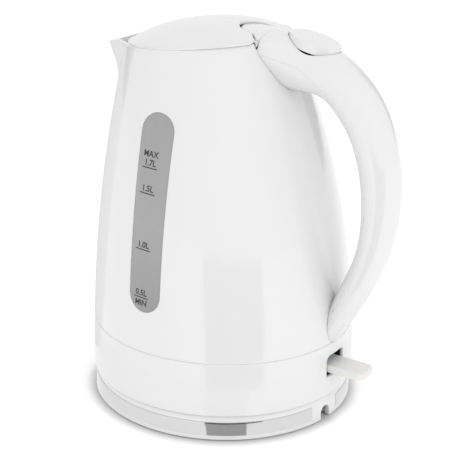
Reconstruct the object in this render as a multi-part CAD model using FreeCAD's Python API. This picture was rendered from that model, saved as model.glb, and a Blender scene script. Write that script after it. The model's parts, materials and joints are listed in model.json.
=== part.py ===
import FreeCAD, Part
import math
import os

# Electric jug kettle on a round power base. Millimetres, +Z up.
# Origin: on the table, on the axis of the power base. +X points to the handle, -X to the spout,
# and -Y to the side with the water gauge.

V = FreeCAD.Vector

# ---- power base ----
BASE_R = 81.0              # radius at the table
BASE_TAPER = 1.2           # the base is this much smaller at its top
BASE_TOP = 15.7            # height of the top face
BASE_LIFT = 0.8            # the shell stands this far off the table, on its foot ring
BASE_WALL = 2.4
BAND_LOW = 3.5             # the bright trim band
BAND_HIGH = 11.7
BAND_THICK = 1.2
BAND_PROUD = 0.15
OUTLET_MIDDLE = -6.0       # cord outlet block, degrees round from the handle side
OUTLET_HALF = 8.8
NOTCH_WIDTH = 8.6          # the cord notch in the outlet block
NOTCH_HEIGHT = 8.8
FOOT_R_OUT = 74.0
FOOT_R_IN = 66.0
PLATE_THICK = 2.2

# ---- round connector, the same at every turn ----
TOWER_R = 18.5
TOWER_TOP = 31.0
TOWER_FLANGE_R = 22.5
TOWER_HOLE_R = 3.4
SLOT_RADII = (9.4, 14.4)   # middle radius of the two ring slots
SLOT_HALF = 1.1
BLADE_HALF = 0.4
PIN_R = 2.6
TURN_GAP = 0.3             # between the turning tower and the base, and the kettle's well

# ---- kettle body ----
BODY_LOW = 16.4            # bottom edge of the skirt
BODY_R = 81.6
NECK_Z = 222.9             # height of the rim on the base's axis
NECK_R = 48.6
NECK_SHIFT = 13.5          # the neck stands this far towards the spout
RADIUS_POWER = 2.18
LEAN_POWER = 2.08
RIM_SLOPE = 0.102          # the rim rises towards the handle
JUG_WALL = 2.5
SKIRT_TOP = 49.6           # seam between the skirt and the jug
SKIRT_WALL = 2.4

# ---- spout ----
SPOUT_X = -89.9
SPOUT_Z = 208.6
SPOUT_START = 172.0        # the keel leaves the body here
SPOUT_RISE = 0.336         # slope of the spout's top edge
SPOUT_TIP_R = 2.6
SPOUT_SINK = 0.6           # the sides run this far inside the body's circle, to cross its surface

# ---- water gauge ----
GAUGE_LOW = 74.2
GAUGE_HIGH = 188.6
GAUGE_WIDTH = 22.0
GAUGE_X = -5.7             # middle of the gauge
GAUGE_LEAN = -0.027
GAUGE_RECESS = 0.5

# ---- heater and underside ----
PLATE_TOP = 56.0           # the water stands on this face
HEATER_THICK = 0.8
GASKET_THICK = 1.2
FLANGE_THICK = 3.0
FLANGE_IN = 61.0
SPREADER_R = 57.0
SPREADER_THICK = 5.0
ELEMENT_R = 48.0
ELEMENT_TUBE = 3.6
UNDER_Z = 18.0             # lower face of the underside cover
UNDER_THICK = 2.2
WELL_R = 21.5              # well that drops over the connector tower
WELL_TOP = 34.5
WELL_WALL = 1.8
CONTROL_LENGTH = 56.0
CONTROL_WIDTH = 44.0
CONTROL_HEIGHT = 8.5
BOSS_CIRCLE = 66.0
BOSS_R = 4.6
BOSS_JOINT = 40.0          # the cover's posts meet the jug's bosses here
SCREW_R = 1.5

# ---- lid ----
LID_RISE = 10.4
LID_WALL = 2.2
LID_GAP = 0.5              # seam between the lid and the rim
DISH_R = 42.0
DISH_DEPTH = 7.0
DISH_WALL = 1.6
HINGE_BACK = 5.9           # hinge axis in front of the rim's rear edge
HINGE_DROP = 0.6           # and below the rim
HINGE_PIN_R = 1.0
HINGE_FIT = 0.05
LUG_R = 1.9
LUG_IN = 17.2
LUG_OUT = 19.2

# ---- handle ----
HANDLE_WALL = 2.2
NOSE_REACH = 19.2          # the nose reaches this far over the lid from the hinge axis
NOSE_HALF = 12.25
NOSE_STRAIGHT = 1.5        # straight part of its side, behind the round tip
NOSE_FLARE = 43.0          # degrees, the flare's slant
FLANK_IN = 11.5            # from here outwards the lid is cleared in cones round the hinge axis
FLANK_R_IN = 8.2
FLANK_R_OUT = 2.9
NOSE_GAP = 0.7
NOSE_SKIN = 1.8
NOSE_DEPTH = 8.0           # from the nose's crest to its underside
NOSE_CREST = 231.5 - 222.9 # crest above NECK_Z
ROOT_HALF = 19.5
ROOT_BACK = 1.6            # the handle's root starts this far behind the hinge axis
SHOULDER_LIFT = 1.2         # keeps the handle full between its root and its first station
NOSE_ROUND = 1.5           # rounded edge along the nose's top

# Handle stations: share of the height from seam to neck, stand-off from the body's rear,
# half thickness, half width, seam place as a share of the half thickness.
HANDLE_STATIONS = (
    (0.947, 14.6, 15.8, 15.8, 0.10),
    (0.914, 30.9, 13.3, 15.3, -0.35),
    (0.850, 39.2, 13.0, 15.0, -0.45),
    (0.784, 42.6, 12.5, 14.6, -0.50),
    (0.709, 43.4, 12.0, 14.2, -0.50),
    (0.611, 41.9, 11.7, 13.6, -0.50),
    (0.467, 36.0, 10.6, 12.8, -0.50),
    (0.325, 26.5, 9.4, 12.0, -0.45),
    (0.213, 15.5, 8.8, 11.2, -0.40),
    (0.122, 5.9, 7.9, 10.4, -0.30),
    (0.048, -1.3, 6.6, 9.8, -0.20),
    (-0.005, -5.6, 5.2, 9.0, -0.10),
)

# ---- lid release ----
BUTTON_BACK = 22.4         # middle of the button behind the rim's rear edge
BUTTON_RISE = 1.4          # and above it
BUTTON_TILT = 14.0         # degrees, down towards the handle's bend
BUTTON_LENGTH = 32.0
BUTTON_WIDTH = 24.0
BUTTON_PROUD = 2.0
BUTTON_SKIRT = 4.0
BUTTON_GAP = 0.35
BUTTON_TRAVEL = 3.0
LATCH_HALF = 4.5
LATCH_THICK = 2.0
LATCH_GAP = 0.3
SPRING_R = 3.0
SPRING_WIRE = 0.4

# ---- switch ----
SLOT_LOW = 28.3
SLOT_HIGH = 41.5
SLOT_WIDTH = 19.5
LEVER_PIVOT_IN = 13.5      # pivot inside the skirt's outer face
LEVER_PIVOT_Z = 35.0
LEVER_WIDTH = 17.0
LEVER_THICK = 5.0
LEVER_OUT = 22.0           # the paddle's end beyond the skirt
LEVER_DROP = 1.6           # the paddle's middle below the pivot
LEVER_PIN_R = 1.2
LEVER_FIT = 0.05
TAIL_LENGTH = 9.0
PLUNGER_R = 1.5
BIMETAL_R = 8.0
STEAM_R = 1.9              # passage for the steam, from the handle's foot to the switch


# ---------------------------------------------------------------- helpers

def box(x0, x1, y0, y1, z0, z1):
    return Part.makeBox(x1 - x0, y1 - y0, z1 - z0, V(x0, y0, z0))


def rod(radius, start, end):
    along = end - start
    return Part.makeCylinder(radius, along.Length, start, along)


def disc(radius, low, high, x=0.0, y=0.0):
    return Part.makeCylinder(radius, high - low, V(x, y, low))


def ring(outer, inner, low, high, x=0.0, y=0.0):
    return disc(outer, low, high, x, y).cut(disc(inner, low - 1, high + 1, x, y))


def turned(profile, x=0.0):
    """A solid turned about the upright axis at x, from (radius, height) points."""
    points = [V(x + r, 0, z) for r, z in profile]
    face = Part.Face(Part.makePolygon(points + points[:1]))
    return face.revolve(V(x, 0, 0), V(0, 0, 1), 360)


def joined(first, *others):
    shape = first
    for other in others:
        shape = shape.fuse(other)
    return shape.removeSplitter()


def around(count, start=0.0):
    """Angles, in degrees, evenly spaced round a circle."""
    return [start + 360.0 * i / count for i in range(count)]


def polar(radius, degrees, z=0.0):
    a = math.radians(degrees)
    return V(radius * math.cos(a), radius * math.sin(a), z)


def save(name, shape):
    solids = shape.Solids
    result = solids[0] if len(solids) == 1 else Part.makeCompound(solids)
    result.exportStep("parts/" + name + ".step")
    bounds = result.BoundBox
    print(f"{name:22s} solids {len(solids)} valid {result.isValid()} volume {result.Volume:10.0f}"
          f"  x {bounds.XMin:.1f} {bounds.XMax:.1f}  y {bounds.YMin:.1f} {bounds.YMax:.1f}"
          f"  z {bounds.ZMin:.1f} {bounds.ZMax:.1f}")


# ---------------------------------------------------------------- shared shapes

def share(z):
    return max(z - BODY_LOW, 0.0) / (NECK_Z - BODY_LOW)


def body_radius(z):
    return BODY_R - (BODY_R - NECK_R) * share(z) ** RADIUS_POWER


def body_middle(z):
    return -NECK_SHIFT * share(z) ** LEAN_POWER


def body_rear(z):
    return body_middle(z) + body_radius(z)


def rim_z(x):
    return NECK_Z + RIM_SLOPE * x


RIM_REAR = body_middle(NECK_Z) + NECK_R
HINGE_X = RIM_REAR - HINGE_BACK
HINGE_Z = rim_z(HINGE_X) - HINGE_DROP
ROOT_X = HINGE_X + ROOT_BACK


def circle_wire(radius, x, z):
    return Part.Wire(Part.Circle(V(x, 0, z), V(0, 0, 1), radius).toShape())


def body_solid(low, high, inset=0.0, count=9):
    """The body as a stack of circles that shrink and lean as they rise."""
    heights = [low + (high - low) * i / (count - 1) for i in range(count)]
    wires = [circle_wire(body_radius(z) - inset, body_middle(z), z) for z in heights]
    return Part.makeLoft(wires, True, False)


def above_rim(offset=0.0):
    """Everything above the sloping rim plane, raised by offset."""
    block = Part.makeBox(400, 400, 200, V(-200, -200, 0))
    block.rotate(V(0, 0, 0), V(0, 1, 0), -math.degrees(math.atan(RIM_SLOPE)))
    block.translate(V(0, 0, NECK_Z + offset))
    return block


def spout_section(z, inset):
    """Body circle's two tangents, meeting at the keel, with a small round at the tip."""
    radius = body_radius(z)
    middle = body_middle(z)
    slope = (SPOUT_X - (body_middle(SPOUT_START) - body_radius(SPOUT_START))) / (SPOUT_Z - SPOUT_START)
    keel = body_middle(SPOUT_START) - body_radius(SPOUT_START) + slope * (z - SPOUT_START)
    reach = max(middle - keel, radius + 0.3)
    half = math.asin((radius - SPOUT_SINK) / reach)
    scale = (radius - inset) / radius
    reach = reach * scale
    radius = (radius - SPOUT_SINK) * scale
    touch = V(middle - radius * math.sin(half), radius * math.cos(half), z)
    tip_r = min(SPOUT_TIP_R, 0.4 * (reach - radius)) * scale
    tip_middle = middle - reach + tip_r / math.sin(half)
    top = V(tip_middle - tip_r * math.sin(half), tip_r * math.cos(half), z)
    nose = V(tip_middle - tip_r, 0, z)
    low = V(top.x, -top.y, z)
    back = V(touch.x, -touch.y, z)
    return Part.Wire([
        Part.LineSegment(touch, top).toShape(),
        Part.Arc(top, nose, low).toShape(),
        Part.LineSegment(low, back).toShape(),
        Part.LineSegment(back, touch).toShape(),
    ])


def spout_solid(inset):
    start = SPOUT_START + (4.0 if inset else 0.0)
    top = SPOUT_Z + 12.0
    heights = [start + (top - start) * i / 4 for i in range(5)]
    return Part.makeLoft([spout_section(z, inset) for z in heights], True, False)


def above_spout(drop=0.0):
    """Everything above the spout's sloping top edge."""
    block = Part.makeBox(80, 200, 80, V(0, -100, 0))
    block.rotate(V(0, 0, 0), V(0, 1, 0), -math.degrees(math.atan(SPOUT_RISE)))
    block.translate(V(SPOUT_X, 0, SPOUT_Z - drop))
    return block


def nose_outline(gap, low, high, back):
    """Upright prism of the nose's plan: round tip, straight sides, and a slanted flare at the root."""
    half = NOSE_HALF + gap
    tip_x = HINGE_X - NOSE_REACH
    tip_middle = tip_x + NOSE_HALF
    flare = math.radians(NOSE_FLARE)
    flare_x = tip_middle + NOSE_STRAIGHT
    bend_x = flare_x - gap * math.tan(flare / 2)
    run = (ROOT_HALF - NOSE_HALF - gap * math.cos(flare)) / math.sin(flare)
    end_x = flare_x - gap * math.sin(flare) + run * math.cos(flare)
    side = [V(tip_middle, half, low), V(bend_x, half, low), V(end_x, ROOT_HALF, low), V(back, ROOT_HALF, low)]
    other = [V(p.x, -p.y, low) for p in reversed(side)]
    edges = [Part.LineSegment(a, b).toShape() for a, b in zip(side + other, (side + other)[1:])]
    edges.append(Part.Arc(other[-1], V(tip_x - gap, 0, low), side[0]).toShape())
    return Part.Face(Part.Wire(edges)).extrude(V(0, 0, high - low))


def hinge_cone(gap):
    """What the nose's flanks need as the lid turns past them: cones about the hinge axis."""
    cones = []
    for side in (1, -1):
        start = V(HINGE_X, side * FLANK_IN, HINGE_Z)
        length = LUG_IN - 0.4 - FLANK_IN
        cones.append(Part.makeCone(FLANK_R_IN + gap, FLANK_R_OUT + gap, length, start, V(0, side, 0)))
    return cones[0].fuse(cones[1])


def nose_crown(drop):
    """Solid under the nose's arched top, lowered by drop."""
    crest = NECK_Z + NOSE_CREST - drop
    bottom = NECK_Z - 30.0
    side = 22.0
    stations = ((-NOSE_REACH - 6, 0.2, 4.4), (-9.0, 0.2, 5.0), (1.5, -0.1, 7.2), (16.0, -1.0, 9.0))
    wires = []
    for along, lift, fall in stations:
        x = HINGE_X + along
        left = V(x, -side, crest + lift - fall)
        top = V(x, 0, crest + lift)
        right = V(x, side, crest + lift - fall)
        wires.append(Part.Wire([
            Part.Arc(left, top, right).toShape(),
            Part.LineSegment(right, V(x, side, bottom)).toShape(),
            Part.LineSegment(V(x, side, bottom), V(x, -side, bottom)).toShape(),
            Part.LineSegment(V(x, -side, bottom), left).toShape(),
        ]))
    return Part.makeLoft(wires, True, False)


# ---------------------------------------------------------------- handle shapes

def handle_points():
    """Station centres in the XZ plane, from the top of the handle to its foot."""
    points = []
    for height, out, _, _, _ in HANDLE_STATIONS:
        z = SKIRT_TOP + height * (NECK_Z - SKIRT_TOP)
        points.append(V(body_rear(z) + out, 0, z))
    return points


def handle_frames():
    """Centre and outward normal of each station."""
    points = handle_points()
    frames = []
    for i, point in enumerate(points):
        before = points[max(i - 1, 0)]
        after = points[min(i + 1, len(points) - 1)]
        along = (after - before).normalize()
        frames.append((point, V(-along.z, 0, along.x)))
    return frames


def closed_curve(points):
    curve = Part.BSplineCurve()
    curve.interpolate(Points=points, PeriodicFlag=True)
    return Part.Wire(curve.toShape())


def oval_points(centre, outward, thick, wide):
    """Twelve points of an oval across the handle, from its outermost point."""
    points = []
    for angle in around(12, 90.0):
        a = math.radians(angle)
        points.append(centre + outward * (thick * math.sin(a)) + V(0, -wide * math.cos(a), 0))
    return points


def root_points(x, wall):
    """Twelve points of the wide drop-shaped section where the handle springs from the neck."""
    crest = NECK_Z + NOSE_CREST
    half = ((0.0, 0.0), (0.57, 1.7), (0.93, 5.6), (1.0, 11.5), (0.86, 21.0), (0.52, 32.0), (0.0, 38.0))
    shrink = (ROOT_HALF - wall) / ROOT_HALF
    middle = crest - 15.0
    right = [V(x, ROOT_HALF * shrink * y, middle + (crest - drop - middle) * shrink) for y, drop in half]
    left = [V(x, -p.y, p.z) for p in right[-2:0:-1]]
    return right + left


def handle_loft(wall):
    outlines = [root_points(ROOT_X, wall)]
    for (centre, outward), (_, _, thick, wide, _) in zip(handle_frames(), HANDLE_STATIONS):
        outlines.append(oval_points(centre, outward, thick - wall, wide - wall))
    between = [(a + b) * 0.5 + V(0, 0, SHOULDER_LIFT) for a, b in zip(outlines[0], outlines[1])]
    outlines.insert(1, between)
    return Part.makeLoft([closed_curve(points) for points in outlines], True, False)


def seam_region():
    """The side of the handle towards the body, bounded by the seam."""
    frames = handle_frames()
    crest = NECK_Z + NOSE_CREST
    reach = 40.0
    x = HINGE_X + 1.0
    corners = [V(x, -reach, crest - 11.0), V(x, reach, crest - 11.0),
               V(x, reach, crest - 50.0), V(x, -reach, crest - 50.0)]
    wires = [Part.makePolygon(corners + corners[:1])]
    for (centre, outward), (_, _, thick, _, seam) in zip(frames, HANDLE_STATIONS):
        top = centre + outward * (seam * thick)
        low = centre - outward * (thick + 3.0)
        corners = [top + V(0, -reach, 0), top + V(0, reach, 0), low + V(0, reach, 0), low + V(0, -reach, 0)]
        wires.append(Part.makePolygon(corners + corners[:1]))
    return Part.makeLoft(wires, True, True)


# ---------------------------------------------------------------- power base

def base_radius(z):
    return BASE_R - BASE_TAPER * z / BASE_TOP


def sector(start, end, radius, low, high):
    """A pie slice, in degrees."""
    slab = Part.makeCylinder(radius, high - low, V(0, 0, low), V(0, 0, 1), end - start)
    slab.rotate(V(0, 0, 0), V(0, 0, 1), start)
    return slab


def cord_notch(reach_in, reach_out, extra=0.0):
    """Arched passage for the cord, along +X before it is turned into place."""
    half = NOTCH_WIDTH / 2 + extra
    springing = NOTCH_HEIGHT - NOTCH_WIDTH / 2
    passage = box(reach_in, reach_out, -half, half, -1.0, springing)
    arch = rod(half, V(reach_in, 0, springing), V(reach_out, 0, springing))
    passage = passage.fuse(arch)
    passage.rotate(V(0, 0, 0), V(0, 0, 1), OUTLET_MIDDLE)
    return passage


def base_shell():
    """Moulded cover of the power base, with the band's groove and the outlet block."""
    outer = turned([(0, BASE_LIFT), (base_radius(BASE_LIFT), BASE_LIFT),
                    (base_radius(BASE_TOP - 1.0), BASE_TOP - 1.0), (base_radius(BASE_TOP) - 0.8, BASE_TOP),
                    (0, BASE_TOP)])
    inside = turned([(0, BASE_LIFT - 1), (BASE_R - BASE_WALL - BAND_THICK, BASE_LIFT - 1),
                     (BASE_R - BASE_WALL - BAND_THICK - BASE_TAPER, BASE_TOP - BASE_WALL),
                     (0, BASE_TOP - BASE_WALL)])
    groove = turned([(base_radius(BAND_LOW) - BAND_THICK, BAND_LOW), (BASE_R + 5, BAND_LOW),
                     (BASE_R + 5, BAND_HIGH), (base_radius(BAND_HIGH) - BAND_THICK, BAND_HIGH)])
    block = sector(OUTLET_MIDDLE - OUTLET_HALF, OUTLET_MIDDLE + OUTLET_HALF, BASE_R + 6, 0, BASE_TOP)
    shell = outer.cut(inside).cut(groove.cut(block))
    shell = shell.cut(disc(TOWER_R + TURN_GAP, 0, BASE_TOP + 1))
    for angle in around(4, 45.0):
        spot = polar(BOSS_CIRCLE - 8, angle)
        boss = disc(3.6, BASE_LIFT + 2.6, BASE_TOP - BASE_WALL, spot.x, spot.y)
        pilot = disc(SCREW_R, BASE_LIFT, BASE_TOP - BASE_WALL - 1.0, spot.x, spot.y)
        shell = shell.fuse(boss).cut(pilot)
    return shell.cut(cord_notch(BASE_R - 12, BASE_R + 4))


def base_plate():
    """Flat bottom plate, screwed up into the shell from below."""
    radius = BASE_R - BASE_WALL - BAND_THICK - 0.8
    plate = disc(radius, BASE_LIFT + 0.4, BASE_LIFT + 0.4 + PLATE_THICK)
    for angle in around(4, 45.0):
        spot = polar(BOSS_CIRCLE - 8, angle)
        plate = plate.cut(disc(SCREW_R + 0.3, 0, 6, spot.x, spot.y))
        plate = plate.cut(disc(3.2, 0, BASE_LIFT + 1.6, spot.x, spot.y))
    plate = plate.cut(ring(FOOT_R_OUT, FOOT_R_IN, 0, BASE_LIFT + 1.2))
    return plate.cut(cord_notch(BASE_R - 24, BASE_R + 4, 0.6))


def foot_ring():
    pad = ring(FOOT_R_OUT, FOOT_R_IN, 0, BASE_LIFT + 1.2)
    return pad.cut(cord_notch(BASE_R - 24, BASE_R + 4, 0.6))


def base_screws():
    screws = []
    for angle in around(4, 45.0):
        spot = polar(BOSS_CIRCLE - 8, angle)
        shank = disc(SCREW_R, BASE_LIFT + 1.6, BASE_TOP - BASE_WALL - 2.0, spot.x, spot.y)
        head = disc(2.8, BASE_LIFT, BASE_LIFT + 1.6, spot.x, spot.y)
        cross = box(-2.0, 2.0, -0.35, 0.35, 0, BASE_LIFT + 0.8)
        cross = cross.fuse(box(-0.35, 0.35, -2.0, 2.0, 0, BASE_LIFT + 0.8))
        cross.translate(spot)
        screws.append(shank.fuse(head).cut(cross))
    return Part.makeCompound(screws)


def trim_band():
    """Bright band let into the shell, open at the cord outlet."""
    low, high = base_radius(BAND_LOW), base_radius(BAND_HIGH)
    outer = turned([(low - BAND_THICK, BAND_LOW), (low + BAND_PROUD, BAND_LOW),
                    (high + BAND_PROUD, BAND_HIGH), (high - BAND_THICK, BAND_HIGH)])
    gap = OUTLET_HALF + 0.15
    return outer.cut(sector(OUTLET_MIDDLE - gap, OUTLET_MIDDLE + gap, BASE_R + 6, 0, BASE_TOP))


def cord_grip():
    """Two-screw clamp bar just inside the cord outlet."""
    floor = BASE_LIFT + 0.4 + PLATE_THICK
    bar = box(BASE_R - 17, BASE_R - 11, -9, 9, NOTCH_HEIGHT, NOTCH_HEIGHT + 3.0)
    for side in (-6.6, 6.6):
        bar = bar.fuse(disc(2.4, floor, NOTCH_HEIGHT, BASE_R - 14, side))
        bar = bar.cut(disc(0.9, floor, NOTCH_HEIGHT + 3.5, BASE_R - 14, side))
    bar.rotate(V(0, 0, 0), V(0, 0, 1), OUTLET_MIDDLE)
    return bar


def base_leads():
    """Three short wires from the cord grip to the connector."""
    leads = []
    for i, spread in enumerate((-2.2, 0.0, 2.2)):
        level = BASE_LIFT + 0.4 + PLATE_THICK + 1.2
        start = V(BASE_R - 19, spread, level)
        end = V(TOWER_FLANGE_R + 3.0, spread * 3, level)
        leads.append(rod(0.9, start, end))
    group = Part.makeCompound(leads)
    group.rotate(V(0, 0, 0), V(0, 0, 1), OUTLET_MIDDLE)
    return group


def terminal_block():
    """Block under the tower that the leads run into."""
    floor = BASE_LIFT + 0.4 + PLATE_THICK
    return ring(TOWER_FLANGE_R + 3.0, 12.0, floor, floor + 3.2)


# ---------------------------------------------------------------- connector tower

def tower_housing():
    tower = disc(TOWER_R, 9.5, TOWER_TOP - 1.0)
    tower = tower.fuse(turned([(0, TOWER_TOP - 1.0), (TOWER_R, TOWER_TOP - 1.0), (TOWER_R - 1.0, TOWER_TOP),
                               (0, TOWER_TOP)]))
    tower = tower.fuse(disc(TOWER_FLANGE_R, 9.5, BASE_TOP - BASE_WALL - TURN_GAP))
    tower = tower.cut(disc(TOWER_HOLE_R + 0.6, 12.0, TOWER_TOP + 1))
    for radius in SLOT_RADII:
        tower = tower.cut(ring(radius + SLOT_HALF, radius - SLOT_HALF, 19.0, TOWER_TOP + 1))
    return tower.removeSplitter()


def tower_contacts():
    """Sprung brass sleeves: one in the middle hole and one in each ring slot."""
    sleeves = [ring(TOWER_HOLE_R + 0.6, TOWER_HOLE_R, 12.0, 27.0)]
    for radius in SLOT_RADII:
        sleeves.append(ring(radius - SLOT_HALF + 0.35, radius - SLOT_HALF, 19.0, 27.5))
    return Part.makeCompound(sleeves)


# ---------------------------------------------------------------- kettle body

def jug():
    """Water jug: leaning shell with a pointed spout."""
    top = NECK_Z + 12.0
    outer = body_solid(SKIRT_TOP, top)
    inner = body_solid(SKIRT_TOP - 1.0, top + 1.0, JUG_WALL)
    # the spout stands on the outside, and its channel opens into the jug
    outside = outer.cut(above_rim()).fuse(spout_solid(0.0).cut(above_spout()).cut(above_rim()))
    hollow = inner.fuse(spout_solid(JUG_WALL))
    shell = outside.cut(hollow)
    shell = shell.cut(gauge_prism(0.0))
    # notch under the handle's root, for the lid hinge and the steam
    shell = shell.cut(box(HINGE_X - 4, RIM_REAR + 3, -ROOT_HALF, ROOT_HALF, NECK_Z - 0.3, NECK_Z + 20))
    # steam duct from the handle's foot to the switch
    low, high = SKIRT_TOP - 3.6, SKIRT_TOP + 12.4
    shell = shell.cut(rod(STEAM_R, V(body_rear(high) + 3.6, 0, high), V(body_rear(low) - 8.5, 0, low)))
    return shell.removeSplitter()


FILTER_HALF = 19.0
FILTER_X = body_middle(NECK_Z) - 43.5
FILTER_LOW = SPOUT_Z - 26.0
FILTER_HIGH = SPOUT_Z - 0.5


def heater_seat():
    """Flange inside the jug that carries the heater, with the screw bosses under it."""
    seat = PLATE_TOP - HEATER_THICK - GASKET_THICK
    flange = body_solid(seat - FLANGE_THICK, seat, JUG_WALL, 3)
    flange = flange.cut(disc(FLANGE_IN, seat - FLANGE_THICK - 1, seat + 1))
    for angle in around(4, 45.0):
        spot = polar(BOSS_CIRCLE, angle)
        flange = flange.fuse(disc(BOSS_R, BOSS_JOINT, seat - 0.5, spot.x, spot.y))
        flange = flange.cut(disc(SCREW_R, BOSS_JOINT - 1, seat - 1.2, spot.x, spot.y))
    return flange.removeSplitter()


def filter_rails():
    """Two grooved rails on the jug's inner wall, for the spout filter."""
    near = FILTER_HALF + 0.2
    reach = near + 1.2
    inside = body_solid(FILTER_LOW - 5, FILTER_HIGH + 5, JUG_WALL, 3)
    groove = box(FILTER_X - 1.1, FILTER_X + 1.1, -reach, reach, FILTER_LOW + 1.5, FILTER_HIGH + 1)
    rails = []
    for y0, y1 in ((near, near + 9.0), (-near - 9.0, -near)):
        rail = box(FILTER_X - 2.2, FILTER_X + 2.2, y0, y1, FILTER_LOW, FILTER_HIGH)
        rails.append(rail.common(inside).cut(groove))
    return Part.makeCompound(rails)


def gauge_prism(clearance):
    """Round-ended slot through the jug's wall, on the -Y side."""
    half = GAUGE_WIDTH / 2 - clearance
    middle = (GAUGE_LOW + GAUGE_HIGH) / 2
    low = V(-half, 0, GAUGE_LOW + GAUGE_WIDTH / 2 - middle)
    high = V(-half, 0, GAUGE_HIGH - GAUGE_WIDTH / 2 - middle)
    outline = Part.Wire([
        Part.LineSegment(low, high).toShape(),
        Part.Arc(high, V(0, 0, high.z + half), V(half, 0, high.z)).toShape(),
        Part.LineSegment(V(half, 0, high.z), V(half, 0, low.z)).toShape(),
        Part.Arc(V(half, 0, low.z), V(0, 0, low.z - half), low).toShape(),
    ])
    prism = Part.Face(outline).extrude(V(0, -BODY_R - 20, 0))
    prism.rotate(V(0, 0, 0), V(0, 1, 0), math.degrees(math.atan(GAUGE_LEAN)))
    prism.translate(V(GAUGE_X, -20, middle))
    return prism


def water_gauge():
    """Clear strip moulded into the jug's wall, a little below its surface."""
    low, high = GAUGE_LOW - 4, GAUGE_HIGH + 4
    wall = body_solid(low, high, GAUGE_RECESS).cut(body_solid(low - 1, high + 1, JUG_WALL))
    return wall.common(gauge_prism(0.0))


def skirt():
    """Ring below the jug, with the switch's slot at the rear."""
    outer = body_solid(BODY_LOW, SKIRT_TOP, 0.0, 5)
    inner = body_solid(BODY_LOW - 1, SKIRT_TOP + 1, SKIRT_WALL, 5)
    lip = ring(BODY_R - 1.0, BODY_R - 7.5, BODY_LOW, UNDER_Z)
    shell = outer.cut(inner).fuse(lip.common(outer))
    half = SLOT_WIDTH / 2
    x0, x1 = BODY_R - 12, BODY_R + 5
    slot = box(x0, x1, -half, half, SLOT_LOW, SLOT_HIGH - 3.0)
    slot = slot.fuse(box(x0, x1, -half + 3.0, half - 3.0, SLOT_LOW, SLOT_HIGH))
    for side in (1, -1):
        y = side * (half - 3.0)
        slot = slot.fuse(rod(3.0, V(x0, y, SLOT_HIGH - 3.0), V(x1, y, SLOT_HIGH - 3.0)))
    shell = shell.cut(slot)
    return shell.removeSplitter()


def underside_cover():
    """Bottom cover with the well that drops over the tower, and posts for the long screws."""
    cover = disc(BODY_R - SKIRT_WALL - 0.6, UNDER_Z, UNDER_Z + UNDER_THICK)
    cover = cover.fuse(disc(WELL_R + WELL_WALL, UNDER_Z, WELL_TOP))
    cover = cover.cut(disc(WELL_R, UNDER_Z - 1, WELL_TOP - WELL_WALL))
    cover = cover.cut(disc(SLOT_RADII[1] + 3.0, WELL_TOP - WELL_WALL - 1, WELL_TOP + 1))
    for angle in around(4, 45.0):
        spot = polar(BOSS_CIRCLE, angle)
        cover = cover.fuse(disc(BOSS_R, UNDER_Z, BOSS_JOINT, spot.x, spot.y))
        cover = cover.cut(disc(SCREW_R + 0.3, UNDER_Z - 1, BOSS_JOINT + 1, spot.x, spot.y))
        cover = cover.cut(disc(3.3, UNDER_Z - 1, UNDER_Z + 6.0, spot.x, spot.y))
    return cover.removeSplitter()


def body_screws():
    screws = []
    seat = PLATE_TOP - HEATER_THICK - GASKET_THICK
    for angle in around(4, 45.0):
        spot = polar(BOSS_CIRCLE, angle)
        shank = disc(SCREW_R, UNDER_Z + 6.0, seat - 3.0, spot.x, spot.y)
        head = disc(2.9, UNDER_Z + 3.8, UNDER_Z + 6.0, spot.x, spot.y)
        screws.append(shank.fuse(head))
    return Part.makeCompound(screws)


# ---------------------------------------------------------------- heater and control

def heater_radius():
    return body_radius(PLATE_TOP) - JUG_WALL - 0.8


def heater_plate():
    x = body_middle(PLATE_TOP)
    plate = disc(heater_radius(), PLATE_TOP - HEATER_THICK, PLATE_TOP, x)
    return plate


def plate_gasket():
    x = body_middle(PLATE_TOP)
    seat = PLATE_TOP - HEATER_THICK - GASKET_THICK
    return ring(heater_radius(), heater_radius() - 7.0, seat, seat + GASKET_THICK, x)


def heat_spreader():
    return disc(SPREADER_R, PLATE_TOP - HEATER_THICK - SPREADER_THICK, PLATE_TOP - HEATER_THICK)


def heating_element():
    """Tubular element bent to a horseshoe, with its two cold ends."""
    z = PLATE_TOP - HEATER_THICK - SPREADER_THICK - ELEMENT_TUBE
    loop = Part.makeTorus(ELEMENT_R, ELEMENT_TUBE, V(0, 0, 0), V(0, 0, 1), 0, 360, 320)
    loop.rotate(V(0, 0, 0), V(0, 0, 1), 200)
    loop.translate(V(0, 0, z))
    ends = []
    for angle in (160.0, 200.0):
        spot = polar(ELEMENT_R, angle, z)
        pin = rod(1.6, spot, V(spot.x, spot.y, z - 9.0))
        ends.append(joined(Part.makeSphere(ELEMENT_TUBE, spot), pin))
    return joined(loop, *ends)


def control_unit():
    """Thermostat block above the well, carrying the kettle's half of the connector."""
    half = CONTROL_LENGTH / 2
    wide = CONTROL_WIDTH / 2
    block = box(-half, half, -wide, wide, WELL_TOP, WELL_TOP + CONTROL_HEIGHT)
    block = block.makeFillet(5.0, [e for e in block.Edges if abs(e.tangentAt(0).z) > 0.9])
    hub = disc(SLOT_RADII[1] + 2.5, WELL_TOP - WELL_WALL, WELL_TOP)
    block = block.fuse(hub)
    return block.cut(connector_pins()).removeSplitter()


def connector_pins():
    """Earth pin and two ring blades that reach down into the tower."""
    tip = 23.0
    root = WELL_TOP + 3.0
    pieces = [rod(PIN_R, V(0, 0, tip - 5.0), V(0, 0, root)).fuse(Part.makeSphere(PIN_R, V(0, 0, tip - 5.0)))]
    for radius in SLOT_RADII:
        pieces.append(ring(radius + BLADE_HALF, radius - BLADE_HALF, tip, root))
    return Part.makeCompound(pieces)


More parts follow.
